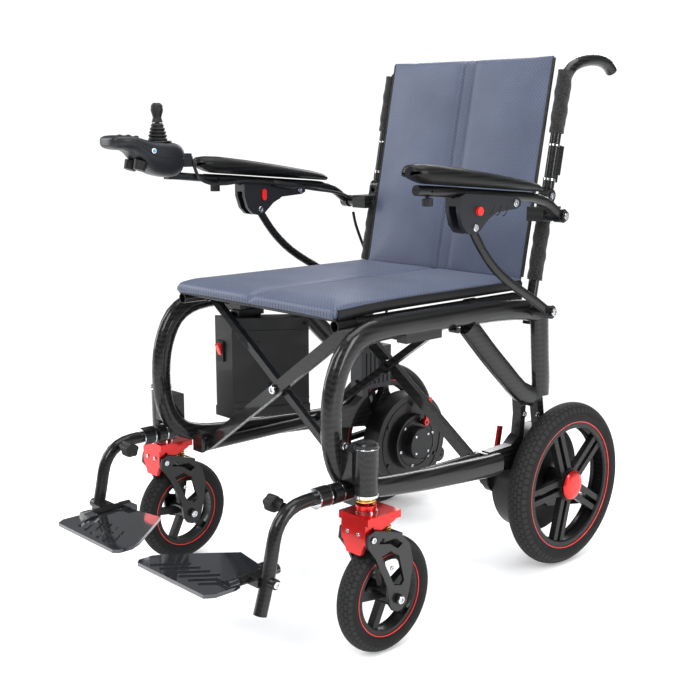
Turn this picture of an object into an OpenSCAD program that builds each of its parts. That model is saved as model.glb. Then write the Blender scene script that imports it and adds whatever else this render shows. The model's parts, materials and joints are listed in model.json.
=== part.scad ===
// Folding power wheelchair with a scissor frame.
// Front faces -Y, the user's left is +X, the ground is z = 0. Millimetres.

/* [Chair] */
// Half distance between the two lower scissor pivots
pivot_x = 200; // [196:1:202]
// Angle of the scissor bars above level when the chair is open
bar_angle = 35; // [34:0.5:36]
// Height of the lower scissor pivots
pivot_z = 236; // [233:1:238]
// Half distance between the centre planes of the side frames
frame_x = 227; // [226:0.5:229]
// Thickness of a side frame across the chair
frame_t = 26; // [22:1:27]
// Height of the top rail's section
rail_h = 37; // [30:1:40]

/* [Seat and back] */
// Half width of the seat
seat_half = 205; // [195:1:208]
// Thickness of the seat pad
seat_t = 27.5; // [15:0.5:30]
// Half width of the back pad
back_half = 196; // [185:1:198]
// Thickness of the back pad
back_t = 15; // [10:1:16]
// Lean of the backrest from vertical
back_lean = 10.9; // [10:0.1:11.5]

/* [Wheels] */
// Radius of the drive wheels
drive_r = 155; // [150:1:155]
// Width of the drive tyres
drive_w = 44; // [38:1:44]
// Radius of the caster wheels
caster_r = 95; // [88:1:95]
// Width of the caster tyres
caster_w = 34; // [28:1:36]
// Number of spoke pairs in a drive wheel
spokes = 5; // [3:1:7]

/* [Tubes] */
// Radius of the back canes
cane_r = 9.5; // [8:0.5:9.5]
// Radius of the push handles
handle_r = 10.5; // [9:0.5:12]
// Radius of the footrest tubes
foot_r = 10.5; // [9:0.5:11]
// Radius of the armrest tubes
arm_r = 8.5; // [7:0.5:9]
// Radius of the armrest struts
strut_r = 8; // [6:0.5:8.5]

/* [Hidden] */

$fn = 64;
bar_len = 2 * pivot_x / cos(bar_angle);        // length of a scissor bar between its pivots
rail_z = pivot_z + bar_len * sin(bar_angle);   // height of the seat rails when open
mid_z = pivot_z + bar_len * sin(bar_angle) / 2;// height of the scissor's centre pivots
seat_rail_r = 9.5;                             // radius of a seat rail
seat_z0 = rail_z + 11.5;                       // underside of the seat pad
front_y = -165;                                // plane of the front scissor pair
rear_y = 101;                                  // plane of the rear scissor pair
axle = [326, 155];                             // drive axle, y and z
wheel_x = 242.5;                               // centre plane of the drive wheels
head = [273, -224];                            // steering axis, x and y
caster_ax = [-185, 95];                        // caster axle, y and z
susp = [-240, 205];                            // fork pivot, y and z
hinge = [281, 695];                            // back hinge, y and z
arm_pin = [247, 664];                          // armrest pivot, y and z
arm_x = 270;                                   // plane of the armrests
cane_x = 215;                                  // plane of the back canes
foot_x = 235;                                  // plane of the footrest tubes
plate_pin = [205, 160];                        // footplate pivot, x and z

// ---- geometry helpers ----
function unit(v) = v / norm(v);
function cr(a, b, c, d, t) = 0.5 * (2 * b + (c - a) * t + (2 * a - 5 * b + 4 * c - d) * t * t + (3 * b - a - 3 * c + d) * t * t * t);
function smooth(p, k) = let (n = len(p)) [for (i = [0 : n - 2]) for (j = [0 : k - 1]) cr(p[max(i - 1, 0)], p[i], p[i + 1], p[min(i + 2, n - 1)], j / k), p[n - 1]];
function in_plane(p, x) = [for (q = p) [x, q[0], q[1]]];
function sgnp(v, e) = sign(v) * pow(abs(v), e);
function ring(c, t, w, h, n, e, u) = let (ax = unit(u - t * (t * u)), b = cross(t, ax))
    [for (i = [0 : n - 1]) let (a = 360 * (i + 0.5) / n) c + ax * (w / 2) * sgnp(cos(a), e) + b * (h / 2) * sgnp(sin(a), e)];
// A solid swept along a path, w across the chair and h in the path's own plane.
module sweep(p, w, h, n = 12, e = 1, u = [1, 0, 0]) {
    m = len(p);
    hs = is_list(h) ? h : [for (i = [0 : m - 1]) h];
    pts = [for (i = [0 : m - 1]) each ring(p[i], unit(p[min(i + 1, m - 1)] - p[max(i - 1, 0)]), w, hs[i], n, e, u)];
    polyhedron(points = pts, faces = concat(
        [[for (j = [0 : n - 1]) j]],
        [for (i = [0 : m - 2]) for (j = [0 : n - 1]) each [[i * n + j, (i + 1) * n + j, i * n + (j + 1) % n],
            [i * n + (j + 1) % n, (i + 1) * n + j, (i + 1) * n + (j + 1) % n]]],
        [[for (j = [n - 1 : -1 : 0]) (m - 1) * n + j]]));
}
module on_side(s) { if (s > 0) children(); else mirror([1, 0, 0]) children(); }
module xcyl(x0, x1, r, y, z) { translate([x0, y, z]) rotate([0, 90, 0]) cylinder(r = r, h = x1 - x0); }
module ycyl(y0, y1, r, x, z) { translate([x, y0, z]) rotate([-90, 0, 0]) cylinder(r = r, h = y1 - y0); }
module box(x0, x1, y0, y1, z0, z1) { translate([x0, y0, z0]) cube([x1 - x0, y1 - y0, z1 - z0]); }
// A flat shape drawn in y and z, made solid from x0 to x1.
module yz(x0, x1) { translate([x0, 0, 0]) rotate([90, 0, 90]) linear_extrude(x1 - x0) children(); }
// The backrest's own frame: origin on the back hinge, z up the cane, y to the rear.
module back_frame() { translate([0, hinge[0], hinge[1]]) rotate([-back_lean, 0, 0]) children(); }
// A body of revolution about the wheel axle, profile in radius and x.
module wheel_turn(x, y, z) { translate([x, y, z]) rotate([0, 90, 0]) rotate_extrude($fn = 96) children(); }

// ---- side frame ----
loop_pts = [[252, 488], [225, 494], [180, 501], [110, 505], [20, 507], [-80, 508], [-150, 507], [-192, 499], [-222, 480], [-240, 450], [-250, 418],
    [-254, 380], [-252, 340], [-243, 306], [-224, 278], [-195, 262], [-150, 251], [-90, 244], [-28, 238], [60, 231.5], [120, 227.5], [150, 226]];
loop_h = [34, 36, rail_h, rail_h, rail_h, rail_h, rail_h, rail_h, 37, 36, 35, 34, 34, 34, 34, 33, 33, 35, 37, 39, 40, 40];
module side_frame() {
    path = smooth(in_plane(loop_pts, frame_x), 2);
    hh = [for (i = [0 : len(loop_h) - 2]) for (j = [0 : 1]) loop_h[i] + (loop_h[i + 1] - loop_h[i]) * j / 2, loop_h[len(loop_h) - 1]];
    difference() {
        union() {
            sweep(path, frame_t, hh, 12, 0.8);
            sweep(smooth(in_plane([[58, 488], [110, 436], [160, 390], [205, 350], [238, 336]], frame_x), 2), frame_t - 1, 38, 12, 0.8);
            sweep(smooth(in_plane([[254, 494], [257, 450], [261, 400], [265, 360], [264, 334]], frame_x), 2), frame_t - 2, 40, 12, 0.8);
            // steering head, its lug and its cap
            translate([head[0], head[1], 268]) cylinder(r = 18.5, h = 78);
            translate([head[0], head[1], 344]) cylinder(r1 = 18.5, r2 = 15, h = 5);
            box(frame_x, head[0] - 10, -244, -206, 286, 334);
            xcyl(frame_x - 4, frame_x + 19, 8, -244, 341);
            // socket for the footrest tube
            ycyl(-264, -226, 16, foot_x + 1, 266);
            // axle plate, with the arm of the anti-tip roller
            difference() {
                yz(196, 214.5) polygon([[221, 342], [282, 342], [290, 322], [300, 262], [345, 195], [362, 155], [352, 126], [338, 117],
                    [460, 93], [474, 92], [478, 80], [468, 74], [455, 78], [318, 104], [300, 120], [242, 196], [165, 206], [140, 210], [140, 246], [200, 247], [222, 262], [226, 300]]);
                yz(190, 220) polygon([[240, 316], [274, 316], [284, 262], [252, 222], [236, 240]]);
                xcyl(190, 220, 10.1, axle[0], axle[1]);
                // slot for the anti-tip roller
                box(199.5, 211, 446, 482, 70, 104);
            }
            box(205, 218, 226, 280, 318, 342);
            box(205, 218, 140, 162, 212, 244);
            // lower scissor pivot rod and its ears
            ycyl(-195, 133, 7, pivot_x, pivot_z);
            box(pivot_x - 9, 218, -195, -187, 226, 262);
            box(pivot_x - 9, 218, 125, 133, 226, 246);
            // saddles that carry the seat rail
            box(190, 216, -100, -22, 482, rail_z - 10.5);
            box(190, 216, 148, 196, 484, rail_z - 10.5);
            // lower back post, arm pivot clamp and back hinge cheeks
            back_frame() translate([cane_x, 0, -232]) cylinder(r = cane_r, h = 214);
            back_frame() difference() {
                union() {
                    box(cane_x - 10.5, cane_x + 10.5, -12, 9.8, -34, 0);
                    xcyl(cane_x - 10.5, cane_x + 10.5, 12, 0, 0);
                }
                box(cane_x - 5.3, cane_x + 5.3, -15, 15, -14, 15);
            }
            xcyl(cane_x - 10.5, cane_x + 10.5, 4, hinge[0], hinge[1]);
            box(cane_x - 9, 243, arm_pin[0] - 11, 286, 652, 677);
            xcyl(240, 261.7, 9, arm_pin[0], arm_pin[1]);
            xcyl(240, 281, 5, arm_pin[0], arm_pin[1]);
            xcyl(278.5, 283, 8.5, arm_pin[0], arm_pin[1]);
            // boss for the armrest strut
            xcyl(frame_x, 243, 12, 222, 498);
            // pad under the top rail
            box(frame_x - 12, frame_x + 9, -100, -16, 478, 494);
            xcyl(frame_x - 3, frame_x + 15, 5, 18, 486);
        }
        translate([head[0], head[1], 260]) cylinder(r = 8, h = 80);
        ycyl(-266, -236, foot_r + 0.1, foot_x + 1, 266);
        xcyl(190, 220, 10.1, axle[0], axle[1]);
        xcyl(186, 224, 3.05, 467, 87);
    }
}

// ---- drive wheel ----
module drive_rim() {
    difference() {
        union() {
            wheel_turn(wheel_x, axle[0], axle[1]) polygon([[110, -17], [120.9, -17], [120.9, 17], [110, 17], [108, 14], [112, 10], [112, -10], [108, -14]]);
            xcyl(217, 262, 24, axle[0], axle[1]);
            xcyl(240, 260, 31, axle[0], axle[1]);
            translate([250, axle[0], axle[1]]) for (i = [0 : spokes - 1]) rotate([i * 360 / spokes + 21, 0, 0])
                for (s = [-1, 1]) translate([-6, s * 10 - 5.5, 18]) cube([12, 11, 95]);
        }
        xcyl(210, 257, 10.05, axle[0], axle[1]);
    }
}
module drive_tyre() {
    wheel_turn(wheel_x, axle[0], axle[1]) difference() {
        translate([drive_r - drive_w / 2, 0]) circle(r = drive_w / 2);
        translate([0, -40]) square([121, 80]);
    }
}
module hub_cap() {
    wheel_turn(262.2, axle[0], axle[1]) polygon([[0, 0], [28, 0], [28, 1.5], [25, 4.5], [18, 6], [0, 6.5]]);
}

// ---- motor, clutch lever and anti-tip roller; k is +1 for a lever ahead of the axle, -1 behind it ----
function lever_pin(k) = k > 0 ? [262, 178] : [341, 199];
module motor(k) {
    xcyl(153, 195.7, 103, axle[0], axle[1]);
    xcyl(139, 153, 60, axle[0], axle[1]);
    xcyl(122, 139, 35, axle[0], axle[1]);
    xcyl(195.7, 255, 10, axle[0], axle[1]);
    if (k > 0) { xcyl(131, 153, 26, 236, 170); xcyl(139, 153, 33, 242, 168); }
    xcyl(130, 153, 6, lever_pin(k)[0], lever_pin(k)[1]);
    xcyl(122.5, 131, 3, lever_pin(k)[0], lever_pin(k)[1]);
    for (a = [30 : 60 : 330]) xcyl(150, 153, 4, axle[0] + 82 * cos(a), axle[1] + 82 * sin(a));
}
module clutch_lever(k) {
    p = lever_pin(k);
    difference() {
        union() {
            xcyl(123.2, 129.7, 7, p[0], p[1]);
            translate([0, p[0], p[1]]) rotate([-11, 0, 0]) box(123.2, 129.7, -4.5, 4.5, 3, k > 0 ? 76 : 54);
        }
        xcyl(120, 132, 3.05, p[0], p[1]);
    }
}
module anti_tip_roller() {
    xcyl(200, 210.5, 17, 467, 87);
    xcyl(193, 217, 3, 467, 87);
}

// ---- caster ----
module caster_bracket() {
    difference() {
        union() {
            translate([head[0], head[1], 238]) cylinder(r = 7.95, h = 101);
            translate([head[0], head[1], 240]) cylinder(r = 16, h = 11.5);
            box(head[0] - 32, head[0] + 32, -251, -180, 228, 240);
            for (s = [-1, 1]) yz(head[0] + s * 24.5 - 2, head[0] + s * 24.5 + 2) polygon([[-251, 196], [-232, 196], [-222, 212], [-190, 222], [-180, 228], [-180, 232], [-251, 232]]);
            translate([head[0], -244, 0]) rotate([90, 0, 0]) linear_extrude(7) polygon([[-26.5, 230], [26.5, 230], [26.5, 203], [15, 178], [-15, 178], [-26.5, 203]]);
            xcyl(head[0] - 33, head[0] - 23, 4, susp[0], susp[1]);
            xcyl(head[0] + 23, head[0] + 33, 4, susp[0], susp[1]);
        }
        xcyl(head[0] - 40, head[0] + 40, 3, -236, 220);
    }
}
module coil(r, wire, z0, z1, turns, k) {
    sweep([for (i = [0 : turns * k]) [r * cos(i * 360 / k), r * sin(i * 360 / k), z0 + wire + (z1 - z0 - 2 * wire) * i / (turns * k)]], 2 * wire, 2 * wire, 8, 1, [0, 0, 1]);
}
module caster_springs() {
    translate([head[0], head[1], 0]) coil(13.5, 2, 252, 267.6, 3, 20);
    for (x = [-11, 11]) translate([head[0] + x, -193, 0]) coil(7.5, 1.5, 199.6, 227.4, 5, 14);
}
module caster_fork() {
    cheek = [[-252, 196], [-249, 214], [-236, 219], [-182, 203], [-160, 180], [-152, 150], [-158, 112], [-166, 84], [-176, 76], [-185, 74], [-196, 78], [-204, 90], [-208, 118], [-234, 172]];
    for (s = [-1, 1]) difference() {
        yz(head[0] + s * 30 - 2.5, head[0] + s * 30 + 2.5) polygon(cheek);
        xcyl(head[0] + s * 30 - 9, head[0] + s * 30 + 9, 4.05, susp[0], susp[1]);
        // long window and the lower slot
        yz(head[0] + s * 30 - 9, head[0] + s * 30 + 9) polygon([[-228, 196], [-220, 203], [-190, 195], [-176, 184], [-186, 178], [-204, 190]]);
        yz(head[0] + s * 30 - 9, head[0] + s * 30 + 9) polygon([[-222, 174], [-202, 178], [-184, 166], [-172, 122], [-178, 116], [-194, 120]]);
    }
    box(head[0] - 28, head[0] + 28, -212, -172, 193.5, 199);
    for (s = [-1, 1]) {
        xcyl(head[0] + s * 34.5 - 3.5, head[0] + s * 34.5 + 3.5, 8, caster_ax[0], caster_ax[1]);
        xcyl(head[0] + s * 26 - 2, head[0] + s * 26 + 2, 9, caster_ax[0], caster_ax[1]);
    }
    xcyl(head[0] - 36, head[0] + 36, 5, caster_ax[0], caster_ax[1]);
}
module caster_rim() {
    difference() {
        union() {
            wheel_turn(head[0], caster_ax[0], caster_ax[1]) polygon([[58, -12], [66.9, -12], [66.9, 12], [58, 12], [60.5, 8.5], [60.5, -8.5]]);
            xcyl(head[0] - 23.5, head[0] + 23.5, 15, caster_ax[0], caster_ax[1]);
            translate([head[0], caster_ax[0], caster_ax[1]]) for (i = [0 : 4]) rotate([i * 72 + 10, 0, 0]) translate([-6.5, -6, 11]) cube([13, 12, 53]);
        }
        xcyl(head[0] - 40, head[0] + 40, 5.05, caster_ax[0], caster_ax[1]);
    }
}
module caster_tyre() {
    wheel_turn(head[0], caster_ax[0], caster_ax[1]) difference() {
        hull() {
            translate([caster_r - caster_w / 2, 0]) circle(r = caster_w / 2, $fn = 48);
            translate([68, -13]) square([1, 26]);
        }
        translate([0, -40]) square([67, 80]);
    }
}

// ---- scissor ----
// A straight bar in the plane y, from one pivot to the other, on the side s of the centre.
module bar(y, s, h, t) {
    translate([0, y, mid_z]) rotate([0, -s * bar_angle, 0]) {
        translate([-bar_len / 2, -t / 2, -h / 2]) cube([bar_len, t, h]);
    }
}
module brace(s) {
    wide_y = s > 0 ? front_y - 7 : rear_y + 7;
    thin_y = s > 0 ? rear_y - 6 : front_y + 7;
    difference() {
        union() {
            bar(wide_y, s, 21, 12);
            bar(thin_y, s, 13, 11);
            ycyl(thin_y - 5.5, thin_y + 5.5, 13, 0, mid_z);
            // sleeves round the seat rail
            for (q = [wide_y, thin_y]) ycyl(q - 11, q + 11, 11.2, s * pivot_x, rail_z);
            // sleeve round the lower pivot rod
            ycyl(-185, 123, 11, -s * pivot_x, pivot_z);
            // pivot bolts, fixed in this brace's own wide bar
            if (s > 0) { ycyl(wide_y - 9, front_y + 15.5, 5, 0, mid_z); ycyl(wide_y - 9, wide_y - 5, 9, 0, mid_z); }
            else { ycyl(rear_y - 15, wide_y + 9, 5, 0, mid_z); ycyl(wide_y + 5, wide_y + 9, 9, 0, mid_z); }
        }
        ycyl(-190, 130, 7.05, -s * pivot_x, pivot_z);
        ycyl(-260, 260, seat_rail_r + 0.1, s * pivot_x, rail_z);
        ycyl(thin_y - 12, thin_y + 12, 5.05, 0, mid_z);
    }
}
module seat_rail(s) {
    difference() {
        ycyl(-222, 226, seat_rail_r, s * pivot_x, rail_z);
        ycyl(-224, -190, 8, s * pivot_x, rail_z);
        ycyl(194, 228, 8, s * pivot_x, rail_z);
    }
}
module seat_pad() {
    w = seat_half - 0.4;
    translate([0.4, 0, seat_z0]) intersection() {
        union() {
            box(0, w, -228 + seat_t / 2, 230, 0, seat_t);
            xcyl(0, w, seat_t / 2, -228 + seat_t / 2, seat_t / 2);
        }
        // bevelled outer edge
        translate([0, 240, 0]) rotate([90, 0, 0]) linear_extrude(480) polygon([[0, -1], [w, -1], [w, seat_t - 13], [w - 13, seat_t + 0.01], [0, seat_t + 0.01]]);
    }
}

// ---- backrest ----
handle_pts = [[30, 178], [34, 196], [41, 211], [54, 224], [74, 233], [98, 238], [124, 240], [148, 238], [167, 231], [179, 221]];
module back_cane() {
    difference() {
        union() {
            back_frame() {
                xcyl(cane_x - 5, cane_x + 5, 11.5, 0, 0);
                box(cane_x - 5, cane_x + 5, -8, 8, 0, 20);
                translate([cane_x, 0, 12.5]) cylinder(r = cane_r + 1, h = 14);
                translate([cane_x, 0, 14]) cylinder(r = cane_r, h = 206);
                // release lever body behind the cane
                box(cane_x - 4, cane_x + 4, 6, 19, 26, 42);
                box(cane_x - 3, cane_x + 3, 12, 26, 40, 92);
            }
            translate([0, hinge[0] + 6, hinge[1]]) sweep(smooth(in_plane(handle_pts, cane_x), 2), 2 * handle_r, 2 * handle_r, 12, 1);
        }
        xcyl(cane_x - 20, cane_x + 20, 4.05, hinge[0], hinge[1]);
    }
}
// Half of the back pad; its outer edge is bevelled to pass the cane when the chair folds.
module back_pad(z0, z1) {
    back_frame() translate([0, 0, z0]) linear_extrude(z1 - z0)
        polygon([[15, -0.5 - back_t], [back_half, -0.5 - back_t], [back_half, 2 - back_t], [148, -0.5], [15, -0.5]]);
}

// ---- armrest ----
arm_pts = [[-118, 722], [-60, 718], [0, 713], [60, 708], [120, 703], [165, 699], [205, 690], [232, 674], [245, 665]];
module arm_tube() {
    difference() {
        union() {
            sweep(smooth(in_plane(arm_pts, arm_x), 2), 2 * arm_r, 2 * arm_r, 12, 1);
            xcyl(arm_x - 8, arm_x + 8, 12, arm_pin[0], arm_pin[1]);
        }
        xcyl(arm_x - 12, arm_x + 12, 5.05, arm_pin[0], arm_pin[1]);
        xcyl(arm_x - 15, arm_x + 15, 2, -90, 720);
    }
}
// Underside of the pad at a distance y along the arm, always clear of the tube.
function pad_z(y) = 731.9 - (y + 118) * 0.0805;
module arm_pad() {
    w = 27;
    hull() for (q = [[-124, 18, 18], [-95, w, 20], [-20, w, 20], [60, w, 15], [150, 20, 8], [178, 15, 6]])
        for (s = [-1, 1]) translate([arm_x + s * (q[1] - 6), q[0], pad_z(q[0])]) { cylinder(r = 6, h = q[2], $fn = 20); translate([-s * 6, 0, q[2]]) cylinder(r = 8, h = 5, $fn = 20); }
}
brk = [[-34, 709], [-20, 714], [60, 708], [108, 703.5], [119, 697], [118, 688], [108, 684], [58, 681], [36, 670], [16, 653], [2, 648], [-14, 651], [-26, 663], [-34, 686]];
module arm_bracket() {
    difference() {
        yz(arm_x - 15, arm_x + 15) polygon(brk);
        // slot between the cheeks for the strut's head
        box(arm_x - 7.3, arm_x + 7.3, -60, 118, 640, 694);
        // the arm tube passes through the top
        sweep(in_plane([for (y = [-80 : 40 : 160]) [y, 719.6 - (y + 88) * 0.0833]], arm_x), 2 * arm_r + 1, 2 * arm_r + 1, 12, 1);
        // bore of the release button
        xcyl(arm_x + 3, arm_x + 20, 7.05, 12, 685);
        xcyl(arm_x - 20, arm_x, 5.05, 12, 685);
    }
}
module arm_button() {
    xcyl(arm_x + 8, arm_x + 19.5, 7, 12, 685);
    xcyl(arm_x - 18, arm_x + 9, 5, 12, 685);
    box(arm_x - 19, arm_x - 15.6, 7, 17, 681, 693);
    for (z = [681, 693]) xcyl(arm_x - 19, arm_x - 15.6, 5, 12, z);
}
strut_pts = [[9, 661], [26, 638], [40, 620], [62, 597], [92, 573], [130, 550], [172, 528], [206, 508], [220, 499]];
module arm_strut() {
    difference() {
        union() {
            sweep(smooth(in_plane(strut_pts, arm_x), 2), 2 * strut_r - 3.6, 2 * strut_r, 12, 1);
            xcyl(arm_x - 6.4, arm_x + 6.4, 12, 6, 665);
            xcyl(243.2, 279, 12, 222, 498);
            xcyl(279, 283, 7, 222, 498);
        }
        xcyl(arm_x - 10, arm_x + 10, 3.5, 6, 665);
    }
}

// ---- footrest ----
foot_pts = [[-238, 266], [-262, 266], [-300, 267], [-332, 265], [-356, 254], [-372, 232], [-380, 200], [-387, 168], [-396, 138], [-404, 112]];
module footrest_tube() {
    difference() {
        union() {
            sweep(smooth([for (q = foot_pts) [foot_x + (q[0] > -290 ? 1 : 0), q[0], q[1]]], 2), 2 * foot_r, 2 * foot_r, 12, 1);
            ycyl(-296, -272, 16, foot_x + 1, 267);
            ycyl(-418, -366, 7, plate_pin[0], plate_pin[1]);
            box(plate_pin[0], foot_x - 4, -404, -376, 153, 168);
            xcyl(foot_x + 4, foot_x + 19, 8, -388, 161);
        }
        ycyl(-420, -364, 4.05, plate_pin[0], plate_pin[1]);
    }
}
module footplate() {
    difference() {
        union() {
            linear_extrude(6) translate([0, 0]) polygon([[36, -484], [206, -484], [216, -470], [216, -432], [186, -356], [112, -342], [38, -432], [28, -452], [28, -476]]);
            for (i = [0 : 5]) translate([56 + i * 22, -474 + i * 2, 5]) rotate([0, 0, -38]) cube([5, 62, 3]);
            for (y = [-440, -363]) difference() { ycyl(y, y + 18, 8, plate_pin[0], plate_pin[1] - 153); ycyl(y - 1, y + 19, 4, plate_pin[0], plate_pin[1] - 153); }
            for (y = [-440, -363]) box(plate_pin[0] - 26, plate_pin[0] - 5, y, y + 18, 2, 12);
            ycyl(-440, -345, 4, plate_pin[0], plate_pin[1] - 153);
        }
        box(197, 222, -421, -364, -5, 20);
    }
    ycyl(-440, -345, 4, plate_pin[0], plate_pin[1] - 153);
}

// ---- power ----
batt = [[-147, 476], [38, 457], [38, 272], [-147, 290]];
module battery() {
    difference() {
        union() {
            yz(-206, -156) polygon(batt);
            yz(-208, -154) polygon([[-148, 306], [-148, 288], [39, 270], [39, 288]]);
            // hanger on the side frame
            yz(-213, -204) polygon([[-110, 478], [-110, 455], [-40, 450], [-40, 478]]);
            box(-213.5, -188, -104, -46, 470, 481);
            box(-213, -205, -90, -20, 268, 300);
        }
        for (i = [0 : 4]) yz(-157, -150) translate([0, 0]) polygon([[-100, 430 - i * 9], [-84, 428.5 - i * 9], [-84, 425 - i * 9], [-100, 426.5 - i * 9]]);
        for (i = [0 : 1]) yz(-157.5, -150) polygon([[-64 + i * 5, 344], [-60 + i * 5, 344], [-60 + i * 5, 326], [-64 + i * 5, 326]]);
        box(-197, -181, -150, -136, 396, 428);
    }
}
module battery_switch() {
    yz(-194, -184) polygon([[-150, 403], [-158, 424], [-152, 427], [-141.5, 421], [-141.5, 401.5]]);
    xcyl(-196.7, -181.3, 4, -146, 412);
}
module control_box() {
    difference() {
        box(-195, -162, 186, 270, 286, 372);
        for (i = [0 : 5]) box(-163.5, -160, 196 + i * 12, 201 + i * 12, 296, 362);
    }
    ycyl(180, 186, 6, -178, 300);
}

// ---- joystick controller, on the right armrest ----
joy = [-270, -216, 806];   // pivot of the joystick
module controller_housing() {
    difference() {
        union() {
            hull() {
                for (q = [[-21, -184, 744], [21, -184, 744], [-25, -262, 754], [25, -262, 754]]) translate([-270 + q[0], q[1], q[2]]) cylinder(r = 9, h = 788.5 - q[2], $fn = 24);
                for (s = [-1, 1]) translate([-270 + s * 17, -194, 728]) cylinder(r = 8, h = 8, $fn = 24);
                for (s = [-1, 1]) translate([-270 + s * 17, -236, 732]) cylinder(r = 8, h = 8, $fn = 24);
            }
            hull() {
                for (s = [-1, 1]) translate([-270 + s * 20, -309, 778]) cylinder(r = 12, h = 20, $fn = 24);
                for (s = [-1, 1]) translate([-270 + s * 25, -266, 766]) cylinder(r = 9, h = 30, $fn = 24);
            }
            // mounting rod that leaves the arm tube's end
            sweep(in_plane([[-118.6, 722.3], [-150, 724.8], [-190, 728]], -270), 14, 14, 12, 1);
            box(-279, -261, -200, -180, 722, 736);
            box(-282, -258, -186, -154, 744, 768);
        }
        translate([joy[0], joy[1], 768]) cylinder(r = 21.8, h = 40);
        translate([-270, -302, 789]) cylinder(r = 7.05, h = 20);
    }
}
module controller_button() { translate([-270, -302, 791.5]) cylinder(r = 6.9, h = 9.5); }
module joystick_boot() {
    translate([joy[0], joy[1], 0]) rotate_extrude() polygon([[9, 790], [16, 789.4], [17, 794], [14.5, 797], [17, 800], [13.5, 803], [15.5, 806], [12, 809], [14, 812], [10.5, 815], [11.5, 818], [9, 822], [4.3, 822], [4.3, 818]]);
}
module joystick_gimbal() {
    difference() {
        translate([joy[0], joy[1], 0]) { translate([0, 0, 772]) cylinder(r = 12.5, h = 12); rotate([0, 90, 0]) translate([-778, 0, -21.5]) cylinder(r = 2, h = 43); }
        translate([joy[0], joy[1], 770]) cylinder(r = 9, h = 16);
    }
}
module joystick_knob() {
    translate([joy[0], joy[1], 0]) {
        translate([0, 0, 770]) cylinder(r = 4, h = 56);
        ycyl(-8.6, 8.6, 2, 0, 778);
        translate([0, 0, 823]) cylinder(r1 = 10, r2 = 7.5, h = 9);
        translate([0, 0, 832]) cylinder(r1 = 7.5, r2 = 11, h = 12);
        translate([0, 0, 844]) cylinder(r1 = 11, r2 = 10, h = 9);
        translate([0, 0, 853]) cylinder(r1 = 10, r2 = 6, h = 4);
    }
}
lead_arm = [[-270, -151.2, 761], [-268, -145, 757], [-262, -144, 744], [-256, -138, 724], [-254, -116, 713], [-252, -80, 711], [-250, -40, 714], [-249, 30, 709], [-249, 90, 700], [-251, 140, 692], [-252, 185, 686], [-252, 215, 680], [-250, 236, 672]];
lead_frame = [[-249, 244, 642], [-247, 250, 615], [-246, 268, 575], [-244, 288, 535], [-232, 300, 498], [-210, 302, 462], [-199, 292, 425], [-190, 268, 402], [-182, 246, 392], [-180, 236, 384], [-180, 234, 372.6]];
module lead(p, k) { sweep(smooth(p, k), 6, 6, 8, 1); }

// ---- the pieces ----
color("#1b1c1e") side_frame();  // side_frame_left
color("#1b1c1e") on_side(-1) side_frame();  // side_frame_right
color("#2a2b2d") drive_rim();  // drive_rim_left
color("#2a2b2d") on_side(-1) drive_rim();  // drive_rim_right
color("#3a3a3b") drive_tyre();  // drive_tyre_left
color("#3a3a3b") on_side(-1) drive_tyre();  // drive_tyre_right
color("#d5221f") hub_cap();  // hub_cap_left
color("#d5221f") on_side(-1) hub_cap();  // hub_cap_right
color("#26272a") motor(1);  // motor_left
color("#26272a") on_side(-1) motor(-1);  // motor_right
color("#d5221f") clutch_lever(1);  // clutch_lever_left
color("#d5221f") on_side(-1) clutch_lever(-1);  // clutch_lever_right
color("#2c2c2e") anti_tip_roller();  // anti_tip_roller_left
color("#2c2c2e") on_side(-1) anti_tip_roller();  // anti_tip_roller_right
color("#d5221f") caster_bracket();  // caster_bracket_left
color("#d5221f") on_side(-1) caster_bracket();  // caster_bracket_right
color("#c79a3c") caster_springs();  // caster_springs_left
color("#c79a3c") on_side(-1) caster_springs();  // caster_springs_right
color("#1f2022") caster_fork();  // caster_fork_left
color("#1f2022") on_side(-1) caster_fork();  // caster_fork_right
color("#2a2b2d") caster_rim();  // caster_rim_left
color("#2a2b2d") on_side(-1) caster_rim();  // caster_rim_right
color("#3a3a3b") caster_tyre();  // caster_tyre_left
color("#3a3a3b") on_side(-1) caster_tyre();  // caster_tyre_right
color("#202124") brace(1);  // cross_brace_a
color("#202124") brace(-1);  // cross_brace_b
color("#17181a") seat_rail(1);  // seat_rail_left
color("#17181a") seat_rail(-1);  // seat_rail_right
color("#5d6c8e") seat_pad();  // seat_left
color("#5d6c8e") on_side(-1) seat_pad();  // seat_right
color("#17181a") back_cane();  // back_cane_left
color("#17181a") on_side(-1) back_cane();  // back_cane_right
color("#5d6c8e") back_pad(-135, -0.4);  // back_lower_left
color("#5d6c8e") on_side(-1) back_pad(-135, -0.4);  // back_lower_right
color("#5d6c8e") back_pad(0.4, 244);  // back_upper_left
color("#5d6c8e") on_side(-1) back_pad(0.4, 244);  // back_upper_right
color("#17181a") arm_tube();  // arm_tube_left
color("#17181a") on_side(-1) arm_tube();  // arm_tube_right
color("#1c1d1f") arm_pad();  // arm_pad_left
color("#1c1d1f") on_side(-1) arm_pad();  // arm_pad_right
color("#2b2c30") arm_bracket();  // arm_bracket_left
color("#2b2c30") on_side(-1) arm_bracket();  // arm_bracket_right
color("#d5221f") arm_button();  // arm_button_left
color("#d5221f") on_side(-1) arm_button();  // arm_button_right
color("#17181a") arm_strut();  // arm_strut_left
color("#17181a") on_side(-1) arm_strut();  // arm_strut_right
color("#1b1c1e") footrest_tube();  // footrest_tube_left
color("#1b1c1e") on_side(-1) footrest_tube();  // footrest_tube_right
color("#3b3d40") translate([0, 0, 153]) footplate();  // footplate_left
color("#3b3d40") on_side(-1) translate([0, 0, 153]) footplate();  // footplate_right
color("#242528") battery();
color("#d5221f") battery_switch();
color("#3d3e42") control_box();
color("#2b2c30") controller_housing();
color("#5a86c8") controller_button();
color("#1a1a1b") joystick_boot();
color("#8a8c90") joystick_gimbal();
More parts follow.
